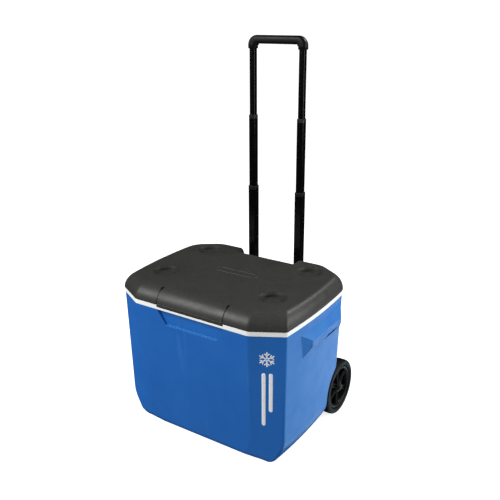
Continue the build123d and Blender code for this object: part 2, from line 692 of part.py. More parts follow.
with BuildPart() as grip:
    with BuildSketch(Plane.XZ.offset(-(TUB_Y + TUBE_Y + GRIP_DEPTH / 2))):
        with BuildLine():
            Polyline(
                (-GRIP_HALF, UPPER_TOP_Z), (-GRIP_HALF, GRIP_TOP_Z), (GRIP_HALF, GRIP_TOP_Z),
                (GRIP_HALF, UPPER_TOP_Z), (GRIP_LEG_IN, UPPER_TOP_Z), (GRIP_LEG_IN, GRIP_BAR_Z),
                (-GRIP_LEG_IN, GRIP_BAR_Z), (-GRIP_LEG_IN, UPPER_TOP_Z), close=True,
            )
        make_face()
        fillet(vertices().group_by(Axis.Y)[-1], GRIP_R)
        fillet(vertices().group_by(Axis.Y)[-3].sort_by(Axis.X), GRIP_R / 4)
    extrude(amount=GRIP_DEPTH)
    fillet(grip.faces().filter_by(Axis.Y).edges(), GRIP_R / 4)
    square_bars(SPIGOT_W, TUBE_IN_R, SPIGOT_LOW_Z, UPPER_TOP_Z + BITE)
    along_y([(x, PIN_Z) for x, y in TUBES], NOTCH_Y, 2 * TUBE_Y, PIN_HOLE_R, Mode.SUBTRACT)
grip.part.label = "grip"
export_step(grip.part, "parts/grip.step")

with BuildPart() as grip_pins:
    half = UPPER_W / 2
    along_y([(x, PIN_Z) for x, y in TUBES], TUBE_Y - half - GAP, TUBE_Y + half + GAP, PIN_R)
grip_pins.part.label = "grip_pins"
export_step(grip_pins.part, "parts/grip_pins.step")

for (low, high), seat, name in (
    (UPPER_BRACKET_Z, UPPER_BRACKET_Z[0], "upper_bracket"),
    (LOWER_BRACKET_Z, FIXED_LOW_Z, "lower_bracket"),
):
    with BuildPart() as bracket:
        with BuildSketch(Plane.YZ.offset(-BRACKET_HALF)):
            with BuildLine():
                Polyline(
                    (TUB_Y + wall_y(low) + GAP, low), (TUB_Y + wall_y(high) + GAP, high),
                    (TUB_Y + BRACKET_BACK_Y, high), (TUB_Y + BRACKET_BACK_Y, low), close=True,
                )
            make_face()
        extrude(amount=2 * BRACKET_HALF)
        fillet(bracket.faces().sort_by(Axis.Y)[-1].edges().filter_by(Axis.Z), BRACKET_ROUND)
        square_bars(BRACKET_SOCKET_W, TUBE_R, seat, high, Mode.SUBTRACT)
        # the middle is thinned to a plate, so that the screws reach the wall
        plate_y = wall_y(high) + 2 * WALL
        mid_half = TUBE_X - FIXED_W
        cut_box((-mid_half, mid_half), (plate_y, 2 * TUBE_Y), (low - BITE, high + BITE))
        along_y(BRACKET_SCREWS, NOTCH_Y, TUBE_Y, SCREW_HOLE_R, Mode.SUBTRACT)
    bracket.part.label = name
    export_step(bracket.part, f"parts/{name}.step")


def screws(places, head_y):
    """Screws along Y whose heads rest on a plane."""
    along_y(places, head_y - SCREW_L, head_y, SCREW_R)
    along_y(places, head_y, head_y + SCREW_HEAD_T, SCREW_HEAD_R)


with BuildPart() as tub_hinge_screws:
    screws(TUB_HINGE_SCREWS, HINGE_SCREW_Y)
tub_hinge_screws.part.label = "tub_hinge_screws"
export_step(tub_hinge_screws.part, "parts/tub_hinge_screws.step")

with BuildPart() as lid_hinge_screws:
    screws(LID_HINGE_SCREWS, HINGE_POCKET_Y + GAP + LEAF_T)
lid_hinge_screws.part.label = "lid_hinge_screws"
export_step(lid_hinge_screws.part, "parts/lid_hinge_screws.step")

with BuildPart() as bracket_screws:
    screws(UPPER_SCREWS, UPPER_SCREW_Y)
    screws(LOWER_SCREWS, LOWER_SCREW_Y)
bracket_screws.part.label = "bracket_screws"
export_step(bracket_screws.part, "parts/bracket_screws.step")

# ---------------------------------------------------------------- wheels
AXLE = (TUB_Y + WHEEL_Y, WHEEL_R)


def wheel_disc(side, x_from, x_to, radius, mode=Mode.ADD, inner=0.0):
    """A disc or ring on the axle line, between two distances from the middle plane."""
    with BuildSketch(Plane.YZ.offset(side * x_from)) as ring:
        with Locations(AXLE):
            Circle(radius)
            if inner:
                Circle(inner, mode=Mode.SUBTRACT)
    extrude(ring.sketch, amount=side * (x_to - x_from), mode=mode)


for side, name in zip(SIDES, ("left", "right")):
    with BuildPart() as wheel_rim:
        wheel_disc(side, WHEEL_IN_X + RIM_SET_IN, WHEEL_OUT_X - RIM_SET_IN, RIM_R, inner=RIM_IN_R)
        wheel_disc(side, HUB_IN_X, HUB_OUT_X, HUB_R)
        wheel_disc(side, *WEB_X, RIM_IN_R + BITE)
        with BuildSketch(Plane.YZ.offset(side * SPOKE_IN_X)):
            with Locations(AXLE):
                with PolarLocations((RIM_IN_R + HUB_R) / 2, SPOKES):
                    Rectangle(RIM_IN_R - HUB_R + 2 * SPOKE_ROOT, SPOKE_W)
        extrude(amount=side * SPOKE_T)
        wheel_disc(side, WELL_X, CAP_OUT_X, BORE_R, Mode.SUBTRACT)
    wheel_rim.part.label = f"wheel_rim_{name}"
    export_step(wheel_rim.part, f"parts/wheel_rim_{name}.step")

    with BuildPart() as tyre:
        wheel_disc(side, WHEEL_IN_X, WHEEL_OUT_X, WHEEL_R, inner=RIM_R)
        fillet(tyre.edges().filter_by(GeomType.CIRCLE).group_by(SortBy.RADIUS)[-1], TYRE_ROUND)
    tyre.part.label = f"tyre_{name}"
    export_step(tyre.part, f"parts/tyre_{name}.step")

    with BuildPart() as axle_cap:
        wheel_disc(side, HUB_OUT_X + CAP_GAP, CAP_OUT_X, CAP_R)
        rims = axle_cap.edges().filter_by(GeomType.CIRCLE).sort_by(Axis.X)
        fillet(rims[-1 if side > 0 else 0], CAP_ROUND)
        wheel_disc(side, HUB_OUT_X, AXLE_END_X + CAP_GAP, BORE_R, Mode.SUBTRACT)
    axle_cap.part.label = f"axle_cap_{name}"
    export_step(axle_cap.part, f"parts/axle_cap_{name}.step")

with BuildPart() as axle:
    with BuildSketch(Plane.YZ.offset(-AXLE_END_X)):
        with Locations(AXLE):
            Circle(AXLE_R)
    extrude(amount=2 * AXLE_END_X)
    chamfer(axle.edges().filter_by(GeomType.CIRCLE), BITE)
axle.part.label = "axle"
export_step(axle.part, "parts/axle.step")

# ---------------------------------------------------------------- drain
DRAIN = (TUB_Y + DRAIN_Y, DRAIN_Z)
LINER_WALL_X = -(LINER_BOTTOM[1] + SIDE_BOW - LINER_T)


def drain_disc(x_from, x_to, radius, inner=0.0, mode=Mode.ADD):
    """A disc or ring on the drain's line."""
    with BuildSketch(Plane.YZ.offset(x_from)) as ring:
        with Locations(DRAIN):
            Circle(radius)
            if inner:
                Circle(inner, mode=Mode.SUBTRACT)
    extrude(ring.sketch, amount=x_to - x_from, mode=mode)


with BuildPart() as drain_spout:
    drain_disc(DRAIN_OUT_X + GAP, LINER_WALL_X + WALL, DRAIN_R, DRAIN_BORE_R)
    drain_disc(LINER_WALL_X + WALL, LINER_WALL_X + 2 * WALL, DRAIN_FLANGE_R, DRAIN_BORE_R)
drain_spout.part.label = "drain_spout"
export_step(drain_spout.part, "parts/drain_spout.step")

with BuildPart() as drain_gasket:
    drain_disc(-DRAIN_SEAT_X - DRAIN_GASKET_T, -DRAIN_SEAT_X, DRAIN_CAP_R, DRAIN_R + DRAIN_FIT)
drain_gasket.part.label = "drain_gasket"
export_step(drain_gasket.part, "parts/drain_gasket.step")

with BuildPart() as drain_nut:
    with BuildSketch(Plane.YZ.offset(-DRAIN_SEAT_X - DRAIN_GASKET_T - DRAIN_NUT_T)):
        with Locations(DRAIN):
            RegularPolygon(DRAIN_NUT_R, 6)
            Circle(DRAIN_R + DRAIN_FIT, mode=Mode.SUBTRACT)
    extrude(amount=DRAIN_NUT_T)
drain_nut.part.label = "drain_nut"
export_step(drain_nut.part, "parts/drain_nut.step")

with BuildPart() as drain_cap:
    drain_disc(DRAIN_OUT_X - WALL, DRAIN_OUT_X + 2 * WALL, DRAIN_CAP_R)
    drain_disc(DRAIN_OUT_X, DRAIN_OUT_X + 2 * WALL, DRAIN_R + GAP, mode=Mode.SUBTRACT)
drain_cap.part.label = "drain_cap"
export_step(drain_cap.part, "parts/drain_cap.step")
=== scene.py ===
import json
import math

import bmesh
import bpy
from mathutils import Matrix, Vector
from mathutils.bvhtree import BVHTree


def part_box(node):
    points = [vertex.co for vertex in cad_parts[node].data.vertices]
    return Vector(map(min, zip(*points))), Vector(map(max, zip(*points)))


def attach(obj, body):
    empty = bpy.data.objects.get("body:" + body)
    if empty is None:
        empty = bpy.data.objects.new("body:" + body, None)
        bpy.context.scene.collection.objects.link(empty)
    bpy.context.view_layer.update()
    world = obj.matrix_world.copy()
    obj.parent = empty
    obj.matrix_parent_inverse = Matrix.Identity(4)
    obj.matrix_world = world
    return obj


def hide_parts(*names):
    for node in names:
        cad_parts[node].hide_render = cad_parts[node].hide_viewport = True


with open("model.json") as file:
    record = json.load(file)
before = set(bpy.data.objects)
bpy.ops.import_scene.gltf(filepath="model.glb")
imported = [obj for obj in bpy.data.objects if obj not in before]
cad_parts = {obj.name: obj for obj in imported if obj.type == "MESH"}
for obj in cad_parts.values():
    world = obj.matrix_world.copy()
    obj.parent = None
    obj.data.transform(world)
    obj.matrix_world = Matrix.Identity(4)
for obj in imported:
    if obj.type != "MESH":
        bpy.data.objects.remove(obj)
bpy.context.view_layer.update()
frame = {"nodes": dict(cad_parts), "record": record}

# The looks of a wheeled cooler box: satin blue tub, grained dark lid, white rim, gloss black pull
# handle and black wheels. Metres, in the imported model's frame: the front faces -Y.

NODES = frame["nodes"]
MM = 0.001
SIDES = ((-1, "left"), (1, "right"))


# ---------------------------------------------------------------- node materials
class Surface:
    """A principled material under construction, with the nodes that its finish is made of."""

    def __init__(self, name, roughness=0.5, **settings):
        self.material = bpy.data.materials.new(name)
        self.material.use_nodes = True
        self.tree = self.material.node_tree
        self.shader = self.tree.nodes["Principled BSDF"]
        self.roughness = roughness
        for socket, value in settings.items():
            self.shader.inputs[socket.replace("_", " ")].default_value = value
        self.place = self.tree.nodes.new("ShaderNodeTexCoord").outputs["Object"]

    def noise(self, scale, detail=3.0, stretch=(1, 1, 1)):
        """Noise with so many features a metre, stretched along the axes."""
        mapping = self.tree.nodes.new("ShaderNodeMapping")
        mapping.inputs["Scale"].default_value = stretch
        self.tree.links.new(self.place, mapping.inputs["Vector"])
        node = self.tree.nodes.new("ShaderNodeTexNoise")
        node.inputs["Scale"].default_value = scale
        node.inputs["Detail"].default_value = detail
        self.tree.links.new(mapping.outputs["Vector"], node.inputs["Vector"])
        return node.outputs["Fac"]

    def cells(self, scale):
        """Pebbled cells, so many a metre."""
        node = self.tree.nodes.new("ShaderNodeTexVoronoi")
        node.feature = "SMOOTH_F1"
        node.inputs["Scale"].default_value = scale
        self.tree.links.new(self.place, node.inputs["Vector"])
        return node.outputs["Distance"]

    def ranged(self, source, low, high, to_low, to_high):
        """A value mapped from one range to another and held inside it."""
        node = self.tree.nodes.new("ShaderNodeMapRange")
        for socket, value in zip(node.inputs[1:5], (low, high, to_low, to_high)):
            socket.default_value = value
        self.tree.links.new(source, node.inputs["Value"])
        return node.outputs["Result"]

    def added(self, first, second, operation="ADD"):
        """Two values joined by a sum, or by another operation."""
        node = self.tree.nodes.new("ShaderNodeMath")
        node.operation = operation
        self.tree.links.new(first, node.inputs[0])
        self.tree.links.new(second, node.inputs[1])
        return node.outputs["Value"]

    def mixed(self, factor, first, second):
        """A blend of two colours, each a constant or another blend."""
        node = self.tree.nodes.new("ShaderNodeMix")
        node.data_type = "RGBA"
        self.tree.links.new(factor, node.inputs["Factor"])
        for socket, colour in zip((node.inputs[6], node.inputs[7]), (first, second)):
            if isinstance(colour, bpy.types.NodeSocket):
                self.tree.links.new(colour, socket)
            else:
                socket.default_value = (*colour, 1.0)
        return node.outputs[2]

    def colour(self, source):
        """Sets the base colour."""
        self.tree.links.new(source, self.shader.inputs["Base Color"])

    def gloss(self, source, spread):
        """Roughness that wanders around the material's own value."""
        low, high = self.roughness - spread, self.roughness + spread
        result = self.ranged(source, 0.3, 0.7, low, high)
        self.tree.links.new(result, self.shader.inputs["Roughness"])

    def relief(self, source, height, strength=1.0, under=None):
        """Surface relief of a height in metres, over another relief."""
        node = self.tree.nodes.new("ShaderNodeBump")
        node.inputs["Distance"].default_value = height
        node.inputs["Strength"].default_value = strength
        self.tree.links.new(source, node.inputs["Height"])
        if under:
            self.tree.links.new(under, node.inputs["Normal"])
        self.tree.links.new(node.outputs["Normal"], self.shader.inputs["Normal"])
        return node.outputs["Normal"]


def moulded(name, colour, shade, roughness, grain, height, scuff, **settings):
    """Moulded plastic: cloudy colour, uneven gloss, fine grain, and faint scuffs along the height."""
    surface = Surface(name, roughness, **settings)
    cloud = surface.ranged(surface.noise(5.0, 4.0), 0.35, 0.65, 0.0, 0.7)
    base = surface.mixed(cloud, colour, shade)
    fleck = surface.ranged(surface.noise(420.0, 2.0), 0.35, 0.75, 0.0, 0.25)
    base = surface.mixed(fleck, base, shade)
    rubbed = surface.ranged(surface.noise(38.0, 6.0, (1.0, 1.0, 0.12)), 0.62, 0.78, 0.0, 1.0)
    surface.colour(surface.mixed(surface.ranged(rubbed, 0.0, 1.0, 0.0, 0.35), base, scuff))
    surface.gloss(surface.added(surface.noise(24.0, 5.0), surface.ranged(rubbed, 0, 1, 0, 0.2)), 0.06)
    wavy = surface.relief(surface.noise(14.0, 2.0), 0.6 * MM, 0.25)
    surface.relief(surface.noise(grain, 3.0), height, 0.5, wavy)
    return surface.material


def leather_grained(name, colour, shade, roughness, **settings):
    """Moulded plastic with a fine pebbled grain."""
    surface = Surface(name, roughness, **settings)
    cloud = surface.ranged(surface.noise(6.0, 5.0), 0.3, 0.7, 0.0, 1.0)
    base = surface.mixed(cloud, colour, shade)
    pebble = surface.cells(720.0)
    surface.colour(surface.mixed(surface.ranged(pebble, 0.1, 0.6, 0.3, 0.0), base, (0.10, 0.10, 0.095)))
    surface.gloss(surface.noise(30.0, 5.0), 0.07)
    wavy = surface.relief(surface.noise(16.0, 2.0), 0.5 * MM, 0.2)
    surface.relief(surface.added(pebble, surface.noise(1900.0), "MULTIPLY"), 0.18 * MM, 0.6, wavy)
    return surface.material


def powder_coated(name, colour, shade, roughness, **settings):
    """Powder-coated tube: slight orange peel, and rub marks along the sliding direction."""
    surface = Surface(name, roughness, **settings)
    rubbed = surface.ranged(surface.noise(160.0, 4.0, (1.0, 1.0, 0.02)), 0.55, 0.8, 0.0, 0.6)
    surface.colour(surface.mixed(rubbed, colour, shade))
    surface.gloss(surface.added(surface.noise(60.0), surface.ranged(rubbed, 0, 1, 0, 0.3)), 0.05)
    surface.relief(surface.noise(520.0, 1.0), 0.012 * MM, 0.3)
    return surface.material


def brushed(name, colour, shade, roughness, stretch, **settings):
    """Plated steel with fine drawn lines and a few dull spots."""
    surface = Surface(name, roughness, Metallic=1.0, **settings)
    lines = surface.noise(900.0, 4.0, stretch)
    spots = surface.ranged(surface.noise(120.0, 5.0), 0.6, 0.75, 0.0, 0.6)
    base = surface.mixed(lines, colour, shade)
    surface.colour(surface.mixed(spots, base, (0.25, 0.24, 0.22)))
    surface.gloss(surface.added(lines, surface.ranged(spots, 0, 1, 0, 0.3)), 0.1)
    surface.relief(lines, 0.02 * MM, 0.5)
    return surface.material


def rubber(name, colour, dust, roughness, **settings):
    """Black rubber with a dusty bloom and a fine moulded tooth."""
    surface = Surface(name, roughness, **settings)
    bloom = surface.ranged(surface.noise(22.0, 6.0), 0.45, 0.75, 0.0, 0.7)
    fine = surface.ranged(surface.noise(700.0, 2.0), 0.4, 0.7, 0.0, 0.3)
    surface.colour(surface.mixed(fine, surface.mixed(bloom, colour, dust), dust))
    surface.gloss(surface.noise(45.0, 4.0), 0.08)
    surface.relief(surface.noise(1300.0, 3.0), 0.12 * MM, 0.5)
    return surface.material


def foamed(name, colour, shade):
    """Poured foam with open cells."""
    surface = Surface(name, 0.85, Specular_IOR_Level=0.2)
    bubbles = surface.cells(380.0)
    surface.colour(surface.mixed(surface.ranged(bubbles, 0.1, 0.7, 0.0, 1.0), colour, shade))
    surface.gloss(surface.noise(60.0), 0.05)
    surface.relief(bubbles, 0.8 * MM, 0.7)
    return surface.material


MATERIALS = {
    "tub_blue": moulded(
        "tub_blue", (0.0125, 0.103, 0.385), (0.009, 0.089, 0.350), 0.42, 1500.0, 0.07 * MM,
        (0.030, 0.135, 0.43), Specular_IOR_Level=0.5, Specular_Tint=(0.4, 1.0, 0.75, 1.0),
    ),
    "liner_white": moulded(
        "liner_white", (0.70, 0.71, 0.70), (0.65, 0.66, 0.65), 0.38, 900.0, 0.04 * MM,
        (0.58, 0.585, 0.58), Specular_IOR_Level=0.4,
    ),
    "mark_white": moulded(
        "mark_white", (0.68, 0.70, 0.72), (0.60, 0.62, 0.65), 0.42, 1100.0, 0.03 * MM,
        (0.50, 0.53, 0.58), Specular_IOR_Level=0.3,
    ),
    "foam": foamed("foam", (0.80, 0.72, 0.48), (0.62, 0.53, 0.32)),
    "lid_grey": leather_grained(
        "lid_grey", (0.023, 0.023, 0.0205), (0.0175, 0.0175, 0.0155), 0.42, Specular_IOR_Level=0.24,
    ),
    "hinge_black": moulded(
        "hinge_black", (0.016, 0.016, 0.016), (0.011, 0.011, 0.011), 0.42, 1500.0, 0.06 * MM,
        (0.05, 0.05, 0.05),
    ),
    "steel": brushed("steel", (0.55, 0.54, 0.52), (0.42, 0.41, 0.40), 0.32, (1.0, 1.0, 0.05)),
    "tube_black": powder_coated(
        "tube_black", (0.0015, 0.0015, 0.0015), (0.004, 0.004, 0.004), 0.20, Specular_IOR_Level=0.12,
    ),
    "guide_black": moulded(
        "guide_black", (0.005, 0.005, 0.005), (0.003, 0.003, 0.003), 0.32, 1300.0, 0.05 * MM,
        (0.03, 0.03, 0.03),
    ),
    "grip_black": moulded(
        "grip_black", (0.0055, 0.0054, 0.005), (0.0035, 0.0035, 0.0035), 0.40, 1100.0, 0.10 * MM,
        (0.012, 0.012, 0.0115), Specular_IOR_Level=0.12,
    ),
    "wheel_black": moulded(
        "wheel_black", (0.0045, 0.0043, 0.004), (0.0028, 0.0028, 0.0026), 0.30, 900.0, 0.07 * MM,
        (0.012, 0.012, 0.0112), Specular_IOR_Level=0.08,
    ),
    "tyre_black": rubber(
        "tyre_black", (0.0022, 0.0021, 0.0035), (0.006, 0.0058, 0.0075), 0.50, Specular_IOR_Level=0.07,
    ),
    "rubber": rubber("rubber", (0.015, 0.015, 0.015), (0.05, 0.05, 0.05), 0.6),
}


def finish_with(obj, slot):
    """Gives an object the one material of a slot."""
    obj.data.materials.clear()
    obj.data.materials.append(MATERIALS[slot])


def smooth(obj):
    """Shades every face of an object smooth."""
    for polygon in obj.data.polygons:
        polygon.use_smooth = True


def link_new(name, data):
    """Makes an object of a mesh, a light or a camera and puts it in the scene."""
    obj = bpy.data.objects.new(name, data)
    bpy.context.scene.collection.objects.link(obj)
    return obj


def meshed(name, builder):
    """Turns a bmesh into an object."""
    mesh = bpy.data.meshes.new(name)
    builder.to_mesh(mesh)
    builder.free()
    return link_new(name, mesh)


def piece(name, builder, body, slot, *nodes):
    """Turns a bmesh into a named piece that rides on a body and may stand for CAD nodes."""
    bmesh.ops.recalc_face_normals(builder, faces=builder.faces)
    obj = meshed(name, builder)
    smooth(obj)
    finish_with(obj, slot)
    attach(obj, body)
    if nodes:
        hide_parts(*nodes)
    # the record has no slot for the printed mark, so it takes its own mark_white material
    return obj


WELD_GAP = 0.01 * MM
SHARP_ANGLE = 28.0
FACET_ANGLE = 0.6


def soften(obj, width):
    """Rounds sharp edges: facets of flat faces are joined first, so that the bevel runs clean."""
    weld = obj.modifiers.new("weld", "WELD")
    weld.merge_threshold = WELD_GAP
    facets = obj.modifiers.new("facets", "DECIMATE")
    facets.decimate_type = "DISSOLVE"
    facets.angle_limit = math.radians(FACET_ANGLE)
    bevel = obj.modifiers.new("bevel", "BEVEL")
    bevel.width = width
    bevel.segments = 3
    bevel.limit_method = "ANGLE"
    bevel.angle_limit = math.radians(SHARP_ANGLE)
    bevel.use_clamp_overlap = False
    bevel.miter_outer = "MITER_ARC"
    normals = obj.modifiers.new("normals", "WEIGHTED_NORMAL")
    normals.mode = "FACE_AREA_WITH_ANGLE"
    normals.weight = 60


# ---------------------------------------------------------------- mesh helpers
def grid(builder, rings, close_rings=True, close_ends=False, caps=False):
    """Skins rows of points. Each row closes on itself unless told not to."""
    rows = [[builder.verts.new(point) for point in ring] for ring in rings]
    pairs = list(zip(rows, rows[1:]))
    if close_ends:
        pairs.append((rows[-1], rows[0]))
    for first, second in pairs:
        count = len(first)
        for i in range(count if close_rings else count - 1):
            j = (i + 1) % count
            builder.faces.new((first[i], first[j], second[j], second[i]))
    if caps:
        builder.faces.new(rows[0])
        builder.faces.new(rows[-1])
    return rows


def lathe(builder, profile, centre, axis, steps=96, closed=True, sink=None):
    """Spins (along, radius) points about an axis. sink(along, radius, turn) gives a new radius."""
    axis = Vector(axis).normalized()
    across = axis.orthogonal().normalized()
    other = axis.cross(across)
    rings = []
    for step in range(steps):
        turn = 2 * math.pi * step / steps
        out = across * math.cos(turn) + other * math.sin(turn)
        ring = []
        for along, radius in profile:
            if sink:
                radius = sink(along, radius, turn)
            ring.append(Vector(centre) + axis * along + out * radius)
        rings.append(ring)
    grid(builder, rings, close_rings=closed, close_ends=True)


def superellipse(half_a, half_b, power, steps):
    """Points of a rounded box outline around its middle."""
    points = []
    for step in range(steps):
        turn = 2 * math.pi * step / steps
        a, b = math.cos(turn), math.sin(turn)
        points.append((
            half_a * math.copysign(abs(a) ** (2 / power), a),
            half_b * math.copysign(abs(b) ** (2 / power), b),
        ))
    return points


# ---------------------------------------------------------------- wheels
TREAD_RIBS = 60
GROOVE_AT = 6.2 * MM
GROOVE_HALF = 1.1 * MM
GROOVE_DEEP = 1.3 * MM
TREAD_BAND = 2.5 * MM               # only the tyre's outermost band carries the tread
SHOULDER_FROM = 0.45                # share of the half-width where the shoulder blocks begin
SHOULDER_GAP = 0.2                  # share of each rib's pitch that is a gap
SHOULDER_DEEP = 0.9 * MM
TYRE_POWER = 3.4
TYRE_POINTS = 88
SPOKE_COUNT = 6
WEB_OUT = 16 * MM                   # outer face of the web, from the rim's inner end
# the spokes' stations in mm: radius, half-width, depth from the hub's end, dish between the ribs
SPOKE_STATIONS = (
    (15.5, 7.5, 3.2, 3.0),
    (24.0, 6.4, 4.6, 3.6),
    (40.0, 6.0, 6.0, 3.6),
    (52.0, 7.0, 5.4, 3.0),
    (59.0, 8.4, 3.8, 2.0),
)
AXLE_HOLE = 6.2 * MM
PIN_POINT = 0.3 * MM                # a spun shape closes this near its axis


def tyre_surface(half, tread_from):
    """Lowers the tread in two round grooves and in the gaps between the shoulder blocks."""
    def sink(along, radius, turn):
        if radius < tread_from:
            return radius
        place = abs(abs(along) - GROOVE_AT)
        if place < GROOVE_HALF:
            radius -= GROOVE_DEEP * (1 - (place / GROOVE_HALF) ** 4)
        phase = (turn * TREAD_RIBS / (2 * math.pi)) % 1.0
        shoulder = abs(along) / half
        if shoulder > SHOULDER_FROM and phase < SHOULDER_GAP:
            radius -= SHOULDER_DEEP
        return radius
    return sink


def make_tyre(name):
    """Tyre of a rounded section, with a tread, around the rim. Gives the wheel's centre."""
    low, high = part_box(f"tyre_{name}")
    rim_low, rim_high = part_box(f"wheel_rim_{name}")
    centre = (low + high) / 2
    outer, inner = (high.z - low.z) / 2, (rim_high.z - rim_low.z) / 2
    half, mid = (high.x - low.x) / 2, (outer + inner) / 2
    profile = [
        (along, mid + radial)
        for along, radial in superellipse(half, (outer - inner) / 2, TYRE_POWER, TYRE_POINTS)
    ]
    builder = bmesh.new()
    sink = tyre_surface(half, outer - TREAD_BAND)
    lathe(builder, profile, centre, (1, 0, 0), steps=5 * TREAD_RIBS, sink=sink)
    piece(f"rubber_tyre_{name}", builder, f"wheel_{name}", "tyre_black", f"tyre_{name}")
    return centre


def spoke(builder, centre, side, angle, stations):
    """A ribbed spoke: each station is (radius, half-width, inner x, outer x, dish between its ribs)."""
    out = Vector((0, math.cos(angle), math.sin(angle)))
    across = Vector((0, -math.sin(angle), math.cos(angle)))
    rings = []
    for radius, half, x_in, x_out, dish in stations:
        section = [
            (-half, x_in), (-half, x_out - 1.5 * MM), (-half + 0.8 * MM, x_out), (-half * 0.62, x_out),
            (-half * 0.45, x_out - dish), (half * 0.45, x_out - dish),
            (half * 0.62, x_out), (half - 0.8 * MM, x_out), (half, x_out - 1.5 * MM), (half, x_in),
        ]
        rings.append([
            Vector((side * x, centre.y, centre.z)) + out * radius + across * width
            for width, x in section
        ])
    grid(builder, rings, caps=True)


def make_rim(side, name, centre):
    """Rim barrel with rolled lips, a web, a hub and ribbed spokes."""
    low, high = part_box(f"wheel_rim_{name}")
    x_in = min(abs(low.x), abs(high.x))
    hub_out = max(abs(low.x), abs(high.x))
    rim_r = (high.z - low.z) / 2
    barrel_in, barrel_out = x_in + 5 * MM, hub_out + 1 * MM
    lip = 2.2 * MM
    line = (0.0, centre.y, centre.z)
    builder = bmesh.new()
    rim = [
        (barrel_in, rim_r - 0.2 * MM), (barrel_in, rim_r - 5 * MM), (barrel_in + lip, rim_r - 9 * MM),
        (barrel_out - 5 * MM, rim_r - 9.6 * MM), (barrel_out - 2 * MM, rim_r - 7.4 * MM),
        (barrel_out - 0.6 * MM, rim_r - 6.2 * MM), (barrel_out, rim_r - 5.0 * MM),
        (barrel_out, rim_r - 3.0 * MM), (barrel_out - 0.8 * MM, rim_r - 1.4 * MM),
        (barrel_out - 2.0 * MM, rim_r - 0.2 * MM),
    ]
    lathe(builder, [(side * x, r) for x, r in rim], line, (1, 0, 0), steps=128)
    web_out = x_in + WEB_OUT
    web_in = web_out - 3 * MM
    web = [(web_in, rim_r - 8 * MM), (web_in, 15 * MM), (web_out, 15 * MM), (web_out, rim_r - 8 * MM)]
    lathe(builder, [(side * x, r) for x, r in web], line, (1, 0, 0), steps=96)
    bore, hub_r = 6.4 * MM, 17 * MM
    hub = [
        (x_in, bore), (x_in, hub_r - 1 * MM), (x_in + 1 * MM, hub_r), (hub_out - 2.5 * MM, hub_r),
        (hub_out - 1.0 * MM, hub_r - 0.7 * MM), (hub_out, hub_r - 2.2 * MM), (hub_out, hub_r - 3.6 * MM),
        (hub_out - 1.2 * MM, hub_r - 4.6 * MM), (hub_out - 1.2 * MM, bore),
    ]
    lathe(builder, [(side * x, r) for x, r in hub], line, (1, 0, 0), steps=72)
    stations = [
        (radius * MM, half * MM, web_out - 1 * MM, hub_out - depth * MM, dish * MM)
        for radius, half, depth, dish in SPOKE_STATIONS
    ]
    for turn in range(SPOKE_COUNT):
        spoke(builder, centre, side, 2 * math.pi * (turn + 0.5) / SPOKE_COUNT, stations)
    obj = piece(f"ribbed_wheel_{name}", builder, f"wheel_{name}", "wheel_black", f"wheel_rim_{name}")
    rounding = obj.modifiers.new("rounding", "BEVEL")
    rounding.width = 0.5 * MM
    rounding.segments = 2
    rounding.limit_method = "ANGLE"
    rounding.angle_limit = math.radians(40)
    rounding.use_clamp_overlap = True


def make_push_cap(side, name, centre):
    """Domed push cap on the end of the axle."""
    cap_low, cap_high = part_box(f"axle_cap_{name}")
    builder = bmesh.new()
    cap_r = (cap_high.z - cap_low.z) / 2
    cap_in = min(abs(cap_low.x), abs(cap_high.x))
    cap_out = max(abs(cap_low.x), abs(cap_high.x))
    cap = [(cap_in, AXLE_HOLE), (cap_in, cap_r - 0.4 * MM), (cap_in + 0.6 * MM, cap_r)]
    cap += [(cap_in + 2.4 * MM, cap_r), (cap_in + 3.0 * MM, cap_r - 1.4 * MM)]
    steps = 9
    for step in range(steps):
        turn = math.pi / 2 * step / steps
        radius = (cap_r - 2.2 * MM) * math.cos(turn)
        cap.append((cap_in + 3.2 * MM + (cap_out - cap_in - 3.2 * MM) * math.sin(turn), radius))
    cap += [(cap_out, PIN_POINT), (cap_in + 4 * MM, PIN_POINT), (cap_in + 4 * MM, AXLE_HOLE)]
    lathe(builder, [(side * x, r) for x, r in cap], (0.0, centre.y, centre.z), (1, 0, 0), steps=64)
    piece(f"push_cap_{name}", builder, "tub", "wheel_black", f"axle_cap_{name}")


# ---------------------------------------------------------------- grip
GRIP_LEG_HALF = 13.4 * MM
GRIP_BAR_HALF = 12.2 * MM
GRIP_BEND = 15.0 * MM
GRIP_TURNS = 12
GRIP_POWER = 3.0
ELBOW_FILL = 0.34                   # how much fuller the inside of each elbow is
END_EASE = 0.10                     # how much narrower the very ends of the legs are
BAR_STATIONS = (60, 50, 40, 26, 12, 0)
SPIGOT_HALF = 7.3 * MM


